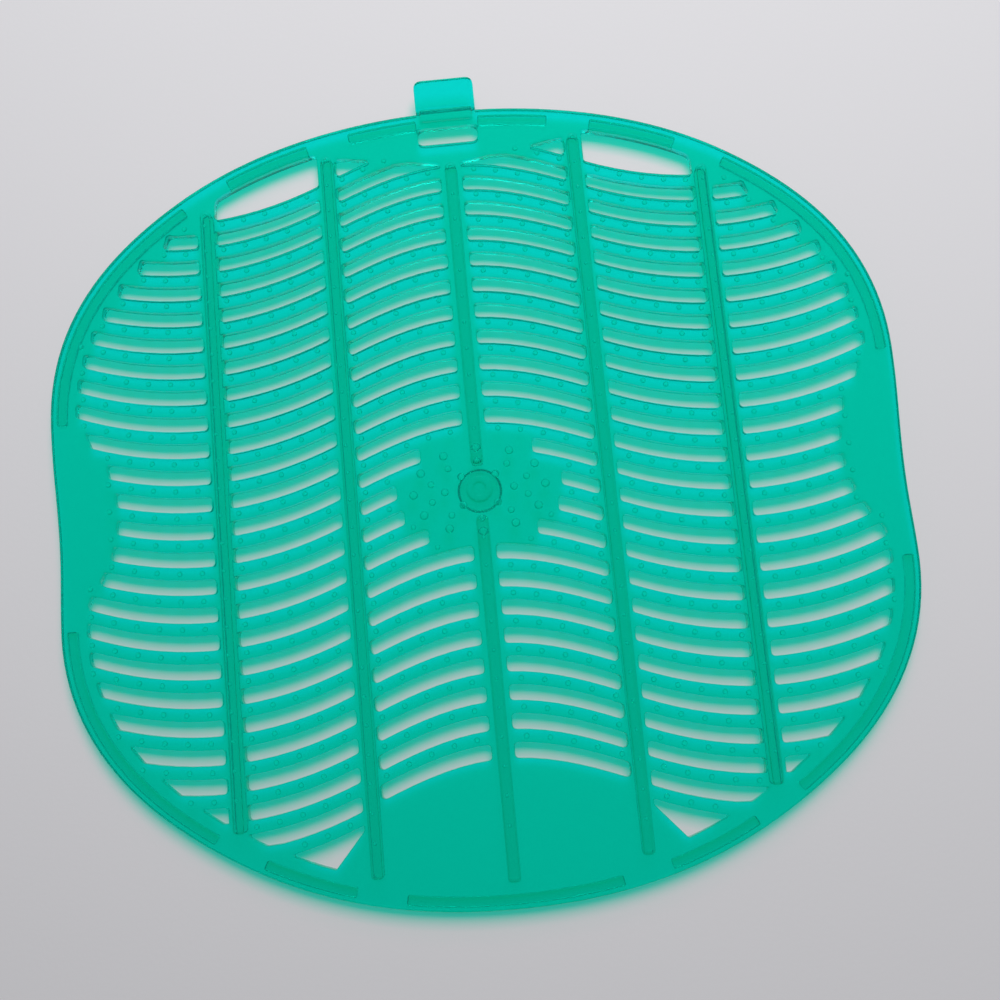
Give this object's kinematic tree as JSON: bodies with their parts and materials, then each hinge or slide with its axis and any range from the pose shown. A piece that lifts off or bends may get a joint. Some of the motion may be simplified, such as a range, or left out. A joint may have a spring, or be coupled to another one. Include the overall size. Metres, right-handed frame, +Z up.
{
  "type": "urinal deodorizer screen",
  "caption": "Flexible moulded mat of wavy slots and ribs that lies in a urinal bowl over its waste, with a pull tab at the head and short feet under the rim.",
  "frame": {"origin": "middle of the mat's box, tab included, on the resting surface under its feet", "axes": "+X across the mat, +Y towards the pull tab, +Z up out of the slotted plate"},
  "size_m": [0.1852, 0.182, 0.0062],
  "materials": {
    "tinted_plastic": "clear tinted flexible plastic, softly glossy"
  },
  "bodies": {
    "root": {"screen_mat": "tinted_plastic"}
  },
  "joints": []
}
